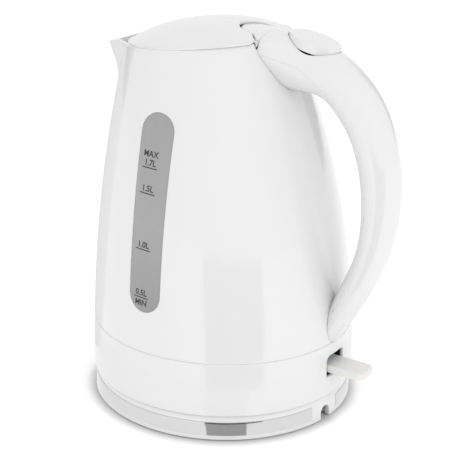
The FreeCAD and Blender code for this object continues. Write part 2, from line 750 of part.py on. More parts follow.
def element_leads():
    """Two insulated wires from the control to the element's cold ends."""
    z = PLATE_TOP - HEATER_THICK - SPREADER_THICK - ELEMENT_TUBE - 7.0
    leads = []
    for angle in (160.0, 200.0):
        spot = polar(ELEMENT_R - 2.2, angle, z)
        leads.append(rod(1.1, V(-CONTROL_LENGTH / 2, spot.y, z), spot))
    return Part.makeCompound(leads)


def bimetal_disc():
    """Snap disc that the steam warms, standing behind the switch."""
    x = PIVOT_X - TAIL_LENGTH - 5.5
    z = LEVER_PIVOT_Z + 7.0
    return rod(BIMETAL_R, V(x, 0, z), V(x + 0.5, 0, z))


# ---------------------------------------------------------------- switch

PIVOT_X = BODY_R - LEVER_PIVOT_IN
SWITCH_FLOOR = UNDER_Z + UNDER_THICK


def switch_bracket():
    """Frame that stands on the underside cover: two ears, a disc holder and the plunger's guide."""
    wide = LEVER_WIDTH / 2 + 3.4
    floor = box(PIVOT_X - 16, PIVOT_X + 5, -wide, wide, SWITCH_FLOOR, SWITCH_FLOOR + 2)
    parts = [floor]
    for side in (1, -1):
        inner = side * (LEVER_WIDTH / 2 + 0.4)
        outer = side * wide
        y0, y1 = sorted((inner, outer))
        parts.append(box(PIVOT_X - 4, PIVOT_X + 4, y0, y1, SWITCH_FLOOR, LEVER_PIVOT_Z + 4))
        parts.append(box(PIVOT_X - 12, PIVOT_X - 3.5, y0, y1, SWITCH_FLOOR, LEVER_PIVOT_Z + 4))
    parts.append(box(PIVOT_X - TAIL_LENGTH - 6.5, PIVOT_X - TAIL_LENGTH - 5.0, -4, 4, SWITCH_FLOOR, 34.0))
    guide = box(PIVOT_X - TAIL_LENGTH - 4, PIVOT_X - TAIL_LENGTH + 4, -5, 5, SWITCH_FLOOR, LEVER_PIVOT_Z - 8)
    bracket = joined(*parts, guide)
    pivot = rod(LEVER_PIN_R, V(PIVOT_X, -wide - 1, LEVER_PIVOT_Z), V(PIVOT_X, wide + 1, LEVER_PIVOT_Z))
    bracket = bracket.cut(pivot)
    bore = disc(PLUNGER_R + LEVER_FIT, SWITCH_FLOOR + 2, LEVER_PIVOT_Z, PIVOT_X - TAIL_LENGTH)
    return bracket.cut(bore)


def lever_pin():
    wide = LEVER_WIDTH / 2 + 3.4
    return rod(LEVER_PIN_R, V(PIVOT_X, -wide, LEVER_PIVOT_Z), V(PIVOT_X, wide, LEVER_PIVOT_Z))


def switch_lever():
    """Rocker paddle: hub on the pin, rounded blade out through the slot, tail over the plunger."""
    half = LEVER_WIDTH / 2
    end = BODY_R + LEVER_OUT
    middle = LEVER_PIVOT_Z - LEVER_DROP
    low, high = middle - LEVER_THICK / 2, middle + LEVER_THICK / 2
    blade = box(PIVOT_X, end, -half, half, low, high)
    uprights = [e for e in blade.Edges if abs(e.tangentAt(0).z) > 0.9 and e.CenterOfMass.x > end - 1]
    blade = blade.makeFillet(5.0, uprights)
    rims = [e for e in blade.Edges if e.BoundBox.ZLength < 0.01 and e.BoundBox.XMax > BODY_R]
    blade = blade.makeFillet(1.4, rims)
    hub = rod(LEVER_THICK / 2 + 1.0, V(PIVOT_X, -half, LEVER_PIVOT_Z), V(PIVOT_X, half, LEVER_PIVOT_Z))
    tail = box(PIVOT_X - TAIL_LENGTH - 1.6, PIVOT_X, -3.5, 3.5, LEVER_PIVOT_Z - 1.2, LEVER_PIVOT_Z + 1.2)
    lever = joined(blade, hub, tail)
    return lever.cut(rod(LEVER_PIN_R + LEVER_FIT, V(PIVOT_X, -half - 1, LEVER_PIVOT_Z),
                         V(PIVOT_X, half + 1, LEVER_PIVOT_Z)))


def trip_plunger():
    x = PIVOT_X - TAIL_LENGTH
    return disc(PLUNGER_R, SWITCH_FLOOR + 4.5, LEVER_PIVOT_Z - 1.7, x)


def indicator_lamp():
    """Small neon capsule under the lever, which it lights from inside."""
    x, z = PIVOT_X + 8.0, SWITCH_FLOOR + 2.6
    capsule = rod(2.0, V(x, -4, z), V(x, 4, z))
    return joined(capsule, Part.makeSphere(2.0, V(x, -4, z)), Part.makeSphere(2.0, V(x, 4, z)))


# ---------------------------------------------------------------- lid

def lid_turned(profile):
    """Turned about the neck's middle and tilted to the rim."""
    x = body_middle(NECK_Z)
    shape = turned(profile, x)
    tilt = -math.degrees(math.atan(RIM_SLOPE))
    shape.rotate(V(x, 0, 0), V(0, 1, 0), tilt)
    shape.translate(V(0, 0, rim_z(x)))
    return shape


def dome_profile(radius, rise, count=9):
    """Points of the dome's curve, from the edge to the crown."""
    return [(radius * (1 - i / (count - 1)), rise * (1 - (1 - i / (count - 1)) ** 2.5)) for i in range(count)]


def dome_solid(radius, rise, low):
    """Solid under the dome, as one turned face with a smooth curve."""
    x = body_middle(NECK_Z)
    points = [V(x + r, 0, z + low) for r, z in dome_profile(radius, rise)]
    curve = Part.BSplineCurve()
    curve.interpolate(Points=points)
    floor = V(x, 0, low - 0.01)
    corner = V(x + radius, 0, low - 0.01)
    wire = Part.Wire([
        curve.toShape(),
        Part.LineSegment(points[-1], floor).toShape(),
        Part.LineSegment(floor, corner).toShape(),
        Part.LineSegment(corner, points[0]).toShape(),
    ])
    shape = Part.Face(wire).revolve(V(x, 0, 0), V(0, 0, 1), 360)
    shape.rotate(V(x, 0, 0), V(0, 1, 0), -math.degrees(math.atan(RIM_SLOPE)))
    shape.translate(V(0, 0, rim_z(x)))
    return shape


def notch_cut(gap):
    """What the lid leaves free for the nose, the hinge and its own swing past the rim."""
    low, high = NECK_Z - 30, NECK_Z + 30
    cut = nose_outline(gap, low, high, RIM_REAR + 20)
    for side in (1, -1):
        y0, y1 = sorted((side * (LUG_OUT + 0.2), side * 60))
        cut = cut.fuse(box(HINGE_X, RIM_REAR + 20, y0, y1, low, high))
    return cut.fuse(hinge_cone(0.4))


def lid_outer():
    """Domed outer skin of the lid."""
    outer = dome_solid(NECK_R, LID_RISE, LID_GAP)
    inner = dome_solid(NECK_R - LID_WALL, LID_RISE - LID_WALL, LID_GAP)
    skin = outer.cut(inner).cut(notch_cut(NOSE_GAP))
    for side in (1, -1):
        y0, y1 = sorted((side * (LUG_IN - 0.4), side * (LUG_OUT + 0.2)))
        room = rod(LUG_R + 0.01, V(HINGE_X, y0, HINGE_Z), V(HINGE_X, y1, HINGE_Z))
        skin = skin.cut(room)
    return skin


def lid_inner():
    """Shallow dish under the dome, walled round the nose, with the two hinge lugs."""
    top = LID_GAP + 1.6
    pan = lid_turned([(0, -DISH_DEPTH), (DISH_R - 2, -DISH_DEPTH), (DISH_R, 0), (NECK_R - LID_WALL - 0.9, 0),
                      (NECK_R - LID_WALL - 0.9, LID_GAP), (NECK_R - LID_WALL - 0.05, LID_GAP),
                      (NECK_R - LID_WALL - 1.2, top), (0, top)])
    hollow = lid_turned([(0, DISH_WALL - DISH_DEPTH), (DISH_R - 2 - DISH_WALL, DISH_WALL - DISH_DEPTH),
                         (DISH_R - DISH_WALL, top + 1), (0, top + 1)])
    pan = pan.cut(notch_cut(NOSE_GAP + 0.3))
    dish = pan.cut(hollow.cut(notch_cut(NOSE_GAP + 0.3 + DISH_WALL)))
    dome = dome_solid(NECK_R - LID_WALL, LID_RISE - LID_WALL, LID_GAP)
    dish = dish.common(dome.fuse(lid_turned([(0, -20), (NECK_R, -20), (NECK_R, LID_GAP), (0, LID_GAP)])))
    for side in (1, -1):
        y0, y1 = sorted((side * LUG_IN, side * LUG_OUT))
        lug = rod(LUG_R, V(HINGE_X, y0, HINGE_Z), V(HINGE_X, y1, HINGE_Z))
        arm = box(HINGE_X - 7.5, HINGE_X, y0, y1, HINGE_Z - LUG_R, HINGE_Z + 0.6)
        dish = dish.fuse(lug).fuse(arm)
    bore = rod(HINGE_PIN_R + HINGE_FIT, V(HINGE_X, -30, HINGE_Z), V(HINGE_X, 30, HINGE_Z))
    return dish.cut(bore).removeSplitter()


def hinge_pin():
    return rod(HINGE_PIN_R, V(HINGE_X, -LUG_OUT, HINGE_Z), V(HINGE_X, LUG_OUT, HINGE_Z))


# ---------------------------------------------------------------- handle pieces

BUTTON_X = RIM_REAR + BUTTON_BACK
BUTTON_Z = rim_z(RIM_REAR) + BUTTON_RISE


def tilted(shape):
    """From the button's own frame, z along its travel, into place."""
    shape.rotate(V(0, 0, 0), V(0, 1, 0), BUTTON_TILT)
    shape.translate(V(BUTTON_X, 0, BUTTON_Z))
    return shape


def oval(length, width, low, high):
    face = Part.Face(Part.Wire(Part.Ellipse(V(0, 0, low), length / 2, width / 2).toShape()))
    return face.extrude(V(0, 0, high - low))


def handle_block():
    """The whole handle as solids: the outside and the hollow."""
    nose_low = NECK_Z + NOSE_CREST - NOSE_DEPTH
    back = ROOT_X + 1.5
    nose = nose_outline(0.0, nose_low, NECK_Z + 40, back).common(nose_crown(0.0))
    rims = [e for e in nose.Edges if e.BoundBox.ZMin > nose_low + 1.0 and e.BoundBox.XMin < back - 0.5
            and e.BoundBox.XLength + e.BoundBox.YLength > 1.0]
    nose = nose.makeFillet(NOSE_ROUND, rims)
    nose_room = nose_outline(-NOSE_SKIN, nose_low + NOSE_SKIN, NECK_Z + 40, back + 4)
    nose_room = nose_room.common(nose_crown(NOSE_SKIN))
    body = body_solid(SKIRT_TOP - 10, NECK_Z + 12, -0.12).cut(above_rim(0.2))
    outside = handle_loft(0.0).cut(body).fuse(nose)
    hollow = handle_loft(HANDLE_WALL).fuse(nose_room)
    return outside, hollow


def handle_pieces():
    """Outer shell with the nose, and the inner cover along the finger side."""
    outside, hollow = handle_block()
    shell = outside.cut(hollow)
    region = seam_region()
    cover = shell.common(region)
    outer = shell.cut(region)
    # cheeks that hold the hinge pin
    low = NECK_Z + NOSE_CREST - NOSE_DEPTH
    for side in (1, -1):
        y0, y1 = sorted((side * 9.5, side * 12.0))
        cheek = box(HINGE_X - 2.6, HINGE_X + 2.6, y0, y1, low, HINGE_Z + 3.0)
        outer = outer.fuse(cheek)
    outer = outer.cut(rod(HINGE_PIN_R, V(HINGE_X, -30, HINGE_Z), V(HINGE_X, 30, HINGE_Z)))
    for side in (1, -1):
        y0, y1 = sorted((side * (LUG_IN - 0.5), side * (LUG_OUT + 0.6)))
        outer = outer.cut(rod(LUG_R + 1.0, V(HINGE_X, y0, HINGE_Z), V(HINGE_X, y1, HINGE_Z)))
    depth = BUTTON_SKIRT + BUTTON_TRAVEL + 0.8
    well = tilted(oval(BUTTON_LENGTH + 2 * BUTTON_GAP, BUTTON_WIDTH + 2 * BUTTON_GAP, -depth, 12.0))
    outer = outer.cut(well)
    latch_room = box(HINGE_X - NOSE_REACH - 5, HINGE_X - NOSE_REACH + 6, -LATCH_HALF - LATCH_GAP,
                     LATCH_HALF + LATCH_GAP, LATCH_LOW - LATCH_GAP, LATCH_LOW + LATCH_THICK + LATCH_GAP)
    outer = outer.cut(latch_room)
    return outer, cover


LATCH_LOW = HINGE_Z + HINGE_PIN_R + 0.5
LATCH_REAR_LOW = BUTTON_Z - 6.5
SPRING_LOW = BUTTON_Z - 12.0


def wedge_line(offset):
    """Two points of the sloping face between the button's foot and the latch, moved off it by offset."""
    press = V(-math.sin(math.radians(BUTTON_TILT)), 0, -math.cos(math.radians(BUTTON_TILT)))
    slope = (V(1, 0, 0) - press).normalize()
    away = V(-slope.z, 0, slope.x)
    low = V(BUTTON_X - 10.5, 0, LATCH_REAR_LOW) + away * offset
    return low, slope


def lid_button():
    """Oval push button with a domed top and a foot that works the latch."""
    skin = 2.0
    cap = oval(BUTTON_LENGTH, BUTTON_WIDTH, -BUTTON_SKIRT, BUTTON_PROUD)
    crown = Part.makeSphere(150.0, V(0, 0, BUTTON_PROUD - 150.0))
    cap = cap.common(crown)
    ceiling = BUTTON_PROUD - skin - 0.6
    hollow = oval(BUTTON_LENGTH - 2 * skin, BUTTON_WIDTH - 2 * skin, -BUTTON_SKIRT - 1, ceiling)
    cap = tilted(cap.cut(hollow))
    start, slope = wedge_line(LATCH_GAP)
    toe = start + slope * 1.6
    heel = start + slope * 5.4
    top = BUTTON_Z + 2.9
    half = LATCH_HALF - 1.5
    outline = [V(toe.x - 1.8, -half, toe.z), V(toe.x, -half, toe.z), V(heel.x, -half, heel.z),
               V(heel.x, -half, top - 0.8), V(toe.x - 1.8, -half, top)]
    foot = Part.Face(Part.makePolygon(outline + outline[:1])).extrude(V(0, 2 * half, 0))
    return cap.fuse(foot).removeSplitter()


def lid_latch():
    """Slide inside the nose: the button's foot pushes its wedge back to free the lid."""
    front = HINGE_X - NOSE_REACH + 0.4
    step = RIM_REAR + 1.9
    high = LATCH_LOW + LATCH_THICK
    wedge, slope = wedge_line(0.0)
    wedge_top = wedge + slope * 5.0
    back = wedge_top.x + 2.0
    bar = box(front, step, -LATCH_HALF, LATCH_HALF, LATCH_LOW, high)
    drop = box(step - 1.2, step, -LATCH_HALF, LATCH_HALF, LATCH_REAR_LOW, high)
    rails = box(step - 1.2, back, -LATCH_HALF, LATCH_HALF, LATCH_REAR_LOW, LATCH_REAR_LOW + LATCH_THICK)
    slot = box(wedge.x - 6.5, back + 1, -LATCH_HALF + 1.2, LATCH_HALF - 1.2, LATCH_REAR_LOW - 1, high)
    half = LATCH_HALF
    outline = [V(wedge.x, -half, wedge.z), V(back, -half, wedge.z), V(back, -half, wedge_top.z),
               V(wedge_top.x, -half, wedge_top.z)]
    ramp = Part.Face(Part.makePolygon(outline + outline[:1])).extrude(V(0, 2 * half, 0))
    return joined(bar, drop, rails.cut(slot), ramp)


def button_spring():
    """Compression spring under the button, drawn as its separate turns."""
    turns = []
    for i in range(5):
        middle = V(BUTTON_X + 3, 0, SPRING_LOW + SPRING_WIRE + 1.7 * i)
        turns.append(Part.makeTorus(SPRING_R, SPRING_WIRE, middle))
    return Part.makeCompound(turns)


def spout_filter():
    """Slide-in frame across the spout's mouth, and the mesh in its two windows."""
    edge = FILTER_HALF + 1.0
    low = FILTER_LOW + 1.7
    frame = box(FILTER_X - 0.9, FILTER_X + 0.9, -edge, edge, low, FILTER_HIGH)
    windows = []
    meshes = []
    for y0, y1 in ((4.0 - edge, -1.0), (1.0, edge - 4.0)):
        windows.append(box(FILTER_X - 2, FILTER_X + 2, y0, y1, low + 3, FILTER_HIGH - 3))
        meshes.append(box(FILTER_X - 0.25, FILTER_X + 0.25, y0, y1, low + 3, FILTER_HIGH - 3))
    return frame.cut(windows[0]).cut(windows[1]), Part.makeCompound(meshes)


def steam_tube():
    """Pipe down the hollow handle, from the neck to the handle's foot."""
    frames = handle_frames()
    wires_out = []
    wires_in = []
    for (centre, outward), (_, _, thick, _, _) in list(zip(frames, HANDLE_STATIONS))[1:10]:
        spot = centre + outward * (0.18 * thick)
        wires_out.append(closed_curve(oval_points(spot, outward, 2.6, 2.6)))
        wires_in.append(closed_curve(oval_points(spot, outward, 1.7, 1.7)))
    return Part.makeLoft(wires_out, True, False).cut(Part.makeLoft(wires_in, True, False))


# ---------------------------------------------------------------- write the pieces

os.makedirs("parts", exist_ok=True)
handle_shell, handle_inner_cover = handle_pieces()
filter_frame, filter_mesh = spout_filter()

PIECES = {
    "base_shell": base_shell(),
    "base_plate": base_plate(),
    "base_foot_ring": foot_ring(),
    "base_screws": base_screws(),
    "base_trim_band": trim_band(),
    "cord_grip": cord_grip(),
    "terminal_block": terminal_block(),
    "base_leads": base_leads(),
    "connector_tower": tower_housing(),
    "tower_contacts": tower_contacts(),
    "jug": jug(),
    "heater_seat": heater_seat(),
    "filter_rails": filter_rails(),
    "water_gauge": water_gauge(),
    "skirt": skirt(),
    "underside_cover": underside_cover(),
    "body_screws": body_screws(),
    "heater_plate": heater_plate(),
    "plate_gasket": plate_gasket(),
    "heat_spreader": heat_spreader(),
    "heating_element": heating_element(),
    "element_leads": element_leads(),
    "control_unit": control_unit(),
    "connector_pins": connector_pins(),
    "bimetal_disc": bimetal_disc(),
    "switch_bracket": switch_bracket(),
    "lever_pin": lever_pin(),
    "switch_lever": switch_lever(),
    "trip_plunger": trip_plunger(),
    "indicator_lamp": indicator_lamp(),
    "handle_shell": handle_shell,
    "handle_inner_cover": handle_inner_cover,
    "steam_tube": steam_tube(),
    "lid_outer": lid_outer(),
    "lid_inner": lid_inner(),
    "lid_hinge_pin": hinge_pin(),
    "lid_button": lid_button(),
    "button_spring": button_spring(),
    "lid_latch": lid_latch(),
    "filter_frame": filter_frame,
    "filter_mesh": filter_mesh,
}

for piece_name, piece in PIECES.items():
    save(piece_name, piece)
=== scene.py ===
import json
import math

import bpy
from mathutils import Matrix, Vector

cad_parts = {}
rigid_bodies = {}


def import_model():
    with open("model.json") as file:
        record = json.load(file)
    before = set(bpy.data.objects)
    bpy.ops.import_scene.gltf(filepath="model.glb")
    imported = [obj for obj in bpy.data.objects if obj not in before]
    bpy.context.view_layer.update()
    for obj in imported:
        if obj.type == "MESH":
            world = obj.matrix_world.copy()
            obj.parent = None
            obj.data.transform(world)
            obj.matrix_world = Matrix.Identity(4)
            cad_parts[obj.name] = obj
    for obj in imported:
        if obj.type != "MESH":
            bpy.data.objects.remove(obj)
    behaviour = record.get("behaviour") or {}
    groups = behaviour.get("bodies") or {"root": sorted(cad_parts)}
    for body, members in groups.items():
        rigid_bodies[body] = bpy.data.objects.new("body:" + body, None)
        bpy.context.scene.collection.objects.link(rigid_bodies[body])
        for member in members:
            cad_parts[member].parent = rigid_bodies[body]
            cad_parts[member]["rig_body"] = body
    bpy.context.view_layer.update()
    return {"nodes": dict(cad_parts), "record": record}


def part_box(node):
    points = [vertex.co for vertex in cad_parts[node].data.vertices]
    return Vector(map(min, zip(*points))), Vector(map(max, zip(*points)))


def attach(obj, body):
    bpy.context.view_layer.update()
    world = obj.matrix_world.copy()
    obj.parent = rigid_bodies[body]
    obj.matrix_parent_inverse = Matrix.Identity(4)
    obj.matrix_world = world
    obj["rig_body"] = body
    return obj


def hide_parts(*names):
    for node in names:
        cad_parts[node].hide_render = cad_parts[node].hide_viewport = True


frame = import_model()

# Electric jug kettle on its power base. Metres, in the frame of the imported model:
# +Z up, +X to the handle, -X to the spout, -Y to the water gauge.

MM = 0.001
NODES = frame["nodes"]


# ---------------------------------------------------------------- shader maths

class Sock:
    """An output socket that can be added, multiplied and so on."""

    def __init__(self, finish, socket):
        self.finish = finish
        self.socket = socket

    def _math(self, operation, first, second):
        return self.finish.node("ShaderNodeMath", {"operation": operation}, {0: first, 1: second})

    def __add__(self, other):
        return self._math("ADD", self, other)

    __radd__ = __add__

    def __sub__(self, other):
        return self._math("SUBTRACT", self, other)

    def __rsub__(self, other):
        return self._math("SUBTRACT", other, self)

    def __mul__(self, other):
        return self._math("MULTIPLY", self, other)

    __rmul__ = __mul__

    def __truediv__(self, other):
        return self._math("DIVIDE", self, other)

    def __pow__(self, other):
        return self._math("POWER", self, other)


class Finish:
    """One material: its tree, its shader and the nodes that feed it."""

    def __init__(self, name):
        self.material = bpy.data.materials.new(name)
        self.material.use_nodes = True
        self.tree = self.material.node_tree
        self.shader = self.tree.nodes["Principled BSDF"]

    def node(self, kind, settings=None, inputs=None, output=0):
        made = self.tree.nodes.new(kind)
        for key, value in (settings or {}).items():
            if key == "stops":
                ramp = made.color_ramp
                while len(ramp.elements) < len(value):
                    ramp.elements.new(0.5)
                for element, (place, shade) in zip(ramp.elements, value):
                    element.position = place
                    element.color = (*shade, 1.0)
            else:
                setattr(made, key, value)
        for key, value in (inputs or {}).items():
            self.feed(made.inputs[key], value)
        return Sock(self, made.outputs[output])

    def feed(self, target, value):
        if isinstance(value, Sock):
            self.tree.links.new(value.socket, target)
        else:
            target.default_value = value

    def place(self):
        """Object coordinates, in metres."""
        return self.node("ShaderNodeTexCoord", output="Object")

    def noise(self, scale, detail=2.0, stretch=(1.0, 1.0, 1.0)):
        where = self.node("ShaderNodeMapping", {}, {"Vector": self.place(), "Scale": stretch})
        return self.node("ShaderNodeTexNoise", {}, {"Vector": where, "Scale": scale, "Detail": detail})

    def mix(self, share, first, second):
        """Between two colours; the node's colour sockets are its seventh and eighth, and its third output."""
        return self.node("ShaderNodeMix", {"data_type": "RGBA"}, {0: share, 6: first, 7: second}, 2)

    def set(self, **values):
        """Constants and links on the shader's own sockets; an underscore stands for a space."""
        for key, value in values.items():
            self.feed(self.shader.inputs[key.replace("_", " ")], value)
        return self

    def bump(self, height, distance, strength=1.0):
        inputs = {"Height": height, "Distance": distance, "Strength": strength}
        return self.set(Normal=self.node("ShaderNodeBump", {}, inputs))


def grey(value):
    return (value, value, value, 1.0)


def tint(shade, cast):
    return (*(shade * c for c in cast), 1.0)


# ---------------------------------------------------------------- finishes

def gloss_white(name, shade=0.78, roughness=0.16):
    """Moulded gloss plastic: near flat, with flow marks, faint handling haze and orange peel."""
    f = Finish(name)
    clouds = f.noise(14.0, 3.0, (1.0, 1.0, 0.35))
    haze = f.noise(60.0, 4.0)
    peel = f.noise(900.0, 1.0)
    low, high = tint(shade * 0.985, (0.995, 1.0, 1.0)), tint(shade * 1.015, (1.0, 1.0, 0.995))
    f.set(Base_Color=f.mix(clouds, low, high), Roughness=roughness + haze * 0.05, IOR=1.5)
    f.set(Coat_Weight=0.6, Coat_Roughness=0.04)
    return f.bump(peel, 0.00002, 0.5).material


def satin_plastic(name, shade=0.74, roughness=0.42):
    """Inner mouldings with a fine spark-eroded grain."""
    f = Finish(name)
    clouds = f.noise(25.0, 3.0)
    grain = f.noise(2600.0, 2.0)
    f.set(Base_Color=f.mix(clouds, grey(shade * 0.95), grey(shade * 1.03)))
    f.set(Roughness=roughness + grain * 0.08)
    return f.bump(grain, 0.00003, 0.6).material


def smoke_window(name):
    """Tinted clear strip: greyer towards its foot, with faint upright flow lines and a glossy face."""
    f = Finish(name)
    low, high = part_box("water_gauge")
    height = f.node("ShaderNodeSeparateXYZ", {}, {0: f.place()}, "Z")
    rise = (height - low.z) / (high.z - low.z)
    flow = f.noise(160.0, 2.0, (1.0, 1.0, 0.03))
    ripple = f.noise(90.0, 1.0, (1.0, 1.0, 0.4))
    stops = ((0.0, (0.27, 0.27, 0.27)), (0.45, (0.345, 0.345, 0.348)), (1.0, (0.325, 0.325, 0.33)))
    tone = f.node("ShaderNodeValToRGB", {"stops": stops}, {"Fac": rise})
    f.set(Base_Color=f.mix(flow * 0.25, tone, grey(0.42)), Roughness=0.14 + flow * 0.05)
    f.set(Coat_Weight=0.5, Coat_Roughness=0.03)
    return f.bump(ripple, 0.00004, 0.4).material


def frosted(name, shade, roughness=0.32):
    """Light translucent plastic of the switch, milkier where it is thick."""
    f = Finish(name)
    milk = f.noise(120.0, 3.0)
    fine = f.noise(1800.0, 2.0)
    f.set(Base_Color=f.mix(milk, grey(shade * 0.95), grey(shade * 1.05)))
    f.set(Roughness=roughness + fine * 0.1, Subsurface_Weight=0.35, Subsurface_Scale=0.004, Coat_Weight=0.3)
    return f.bump(fine, 0.00002, 0.4).material


def metal(name, shade, cast, roughness, brushed=(1.0, 1.0, 1.0), scratch=0.25):
    """Plated or rolled metal with fine lines along the brushed direction."""
    f = Finish(name)
    lines = f.noise(900.0, 3.0, brushed)
    tone = f.noise(35.0, 3.0)
    f.set(Base_Color=f.mix(tone, tint(shade * 0.95, cast), tint(shade * 1.03, cast)))
    f.set(Metallic=1.0, Roughness=roughness + lines * scratch * 0.3)
    return f.bump(lines, 0.00001, scratch).material


def soft(name, shade, roughness=0.75):
    """Rubber and silicone, a little dusty."""
    f = Finish(name)
    grain = f.noise(1500.0, 3.0)
    dust = f.noise(80.0, 5.0)
    f.set(Base_Color=f.mix(dust, grey(shade * 0.85), grey(shade * 1.25)), Roughness=roughness + grain * 0.1)
    return f.bump(grain, 0.00005, 0.7).material


def print_ink(name):
    """Pad-printed black, a little worn."""
    f = Finish(name)
    wear = f.noise(700.0, 4.0)
    f.set(Base_Color=f.mix(wear, grey(0.008), grey(0.05)), Roughness=0.45 + wear * 0.2)
    return f.bump(wear, 0.00001, 0.4).material


FINISHES = {
    "white_gloss": gloss_white("gloss white"),
    "white_satin": satin_plastic("satin white"),
    "clear_grey": smoke_window("smoke window"),
    "lever_clear": frosted("frosted lever", 0.78),
    "band_chrome": metal("bright band", 0.75, (1.0, 1.0, 1.0), 0.07, (0.05, 0.05, 1.0), 0.1),
    "stainless": metal("stainless", 0.60, (1.0, 0.99, 0.97), 0.22),
    "aluminium": metal("aluminium", 0.70, (1.0, 1.0, 1.0), 0.35),
    "element_steel": metal("element steel", 0.42, (1.0, 0.97, 0.92), 0.40),
    "brass": metal("brass", 0.78, (1.0, 0.78, 0.38), 0.25),
    "dark_plastic": satin_plastic("black plastic", 0.035, 0.45),
    "rubber": soft("foot rubber", 0.09),
    "silicone": soft("silicone", 0.55, 0.55),
    "wire_white": satin_plastic("wire sleeve", 0.72, 0.5),
    "lamp_glass": frosted("lamp glass", 0.6, 0.1),
    "screw_steel": metal("screw steel", 0.50, (1.0, 1.0, 0.98), 0.30),
}
INK = print_ink("gauge ink")
SLOTS = {part["node"]: part["material_slot"] for part in frame["record"]["subparts"]}
for name, node in NODES.items():
    node.data.materials.clear()
    node.data.materials.append(FINISHES[SLOTS[name]])


# ---------------------------------------------------------------- modelling helpers

def deselect():
    if bpy.context.object and bpy.context.object.mode == "EDIT":
        bpy.ops.object.mode_set(mode="OBJECT")
    bpy.ops.object.select_all(action="DESELECT")


def work_on(piece):
    deselect()
    piece.select_set(True)
    bpy.context.view_layer.objects.active = piece


def apply_place(piece):
    """The object goes to the origin, and its place into its mesh."""
    work_on(piece)
    bpy.ops.object.transform_apply(location=True, rotation=True, scale=True)


def modify(piece, kind, **settings):
    """Adds a modifier, sets it and applies it."""
    work_on(piece)
    made = piece.modifiers.new(kind.lower(), kind)
    for key, value in settings.items():
        setattr(made, key, value)
    bpy.ops.object.modifier_apply(modifier=made.name)


def smooth(piece, degrees=32.0):
    work_on(piece)
    bpy.ops.object.shade_smooth_by_angle(angle=math.radians(degrees))


def finish_piece(piece, name, body, slot, material=None):
    piece.name = name
    piece.data.name = name
    piece.data.materials.clear()
    piece.data.materials.append(material or FINISHES[slot])
    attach(piece, body)
    return piece


WELD = 0.004 * MM          # points of a CAD mesh closer than this are one
FLAT = 0.3                 # degrees; faces that meet flatter than this are one
CORNER = 38.0              # degrees; edges sharper than this are rounded
ROUND_RINGS = 3


def softened(node, width, name, corner=CORNER):
    """A merged copy of a CAD node with its sharp corners rounded, standing in for it."""
    source = NODES[node]
    piece = bpy.data.objects.new(name, source.data.copy())
    bpy.context.scene.collection.objects.link(piece)
    work_on(piece)
    bpy.ops.object.mode_set(mode="EDIT")
    bpy.ops.mesh.select_all(action="SELECT")
    bpy.ops.mesh.remove_doubles(threshold=WELD)
    bpy.ops.mesh.dissolve_limited(angle_limit=math.radians(FLAT))
    bpy.ops.object.mode_set(mode="OBJECT")
    modify(piece, "BEVEL", width=width, segments=ROUND_RINGS, limit_method="ANGLE",
           angle_limit=math.radians(corner), use_clamp_overlap=False, loop_slide=False)
    smooth(piece)
    finish_piece(piece, name, source["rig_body"], SLOTS[node])
    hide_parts(node)
    return piece


# ---------------------------------------------------------------- mouldings with rounded edges

softened("lid_outer", 0.5 * MM, "lid_skin")
softened("lid_button", 0.3 * MM, "lid_button_cap")
softened("handle_shell", 0.14 * MM, "handle_outer", corner=30.0)
softened("handle_inner_cover", 0.3 * MM, "handle_inside")
softened("jug", 0.5 * MM, "jug_body")
softened("skirt", 0.8 * MM, "lower_skirt")
softened("base_shell", 0.35 * MM, "power_base_shell")
softened("base_trim_band", 0.12 * MM, "trim_band")
softened("water_gauge", 0.2 * MM, "gauge_window")


# ---------------------------------------------------------------- gauge scale

GAUGE_LOW, GAUGE_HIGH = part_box("water_gauge")
GAUGE_LEAN = -0.027        # the strip leans towards the handle at its foot
MARK_LINE = 0.55 * MM
MARK_WIDTH = 10.5 * MM
MARK_ASIDE = -2.4 * MM      # the scale is printed nearer the window's spout side
WORD_HEIGHT = 3.5 * MM
WORDS_ABOVE = 1.3 * MM      # a volume stands this far above its line
MAX_FOOT = 163.8 * MM
MIN_FOOT = 78.0 * MM
FONT_SHARE = 1.38           # font size for each millimetre of capital height
PRINT_START = 5 * MM        # outlines start this far in front of the window
PRINT_THICK = 0.05 * MM
STROKE_BOLD = 0.07 * MM
MARKS = (                   # name, height of the line, volume
    ("min", 82.7 * MM, "0.5L"),
    ("one", 111.0 * MM, "1.0L"),
    ("one_half", 143.2 * MM, "1.5L"),
    ("max", 157.6 * MM, "1.7L"),
)


def gauge_middle(z):
    centre = (GAUGE_LOW + GAUGE_HIGH) / 2
    return centre.x + MARK_ASIDE + GAUGE_LEAN * (z - centre.z)


def print_on_gauge(piece, name):
    """Lays a flat outline on the window's face and gives it the thickness of ink."""
    modify(piece, "SHRINKWRAP", target=bpy.data.objects["gauge_window"], wrap_method="PROJECT",
           use_project_y=True, use_positive_direction=True, use_negative_direction=False, offset=PRINT_THICK)
    modify(piece, "SOLIDIFY", thickness=PRINT_THICK, offset=0.0)
    finish_piece(piece, name, "kettle", "clear_grey", INK)


def mark_line(name, z, width):
    """A level line across the window."""
    bpy.ops.mesh.primitive_grid_add(x_subdivisions=12, y_subdivisions=1, size=1.0,
                                    location=(gauge_middle(z), GAUGE_LOW.y - PRINT_START, z),
                                    rotation=(math.pi / 2, -GAUGE_LEAN, 0))
    line = bpy.context.object
    line.scale = (width, MARK_LINE, 1.0)
    apply_place(line)
    print_on_gauge(line, name)


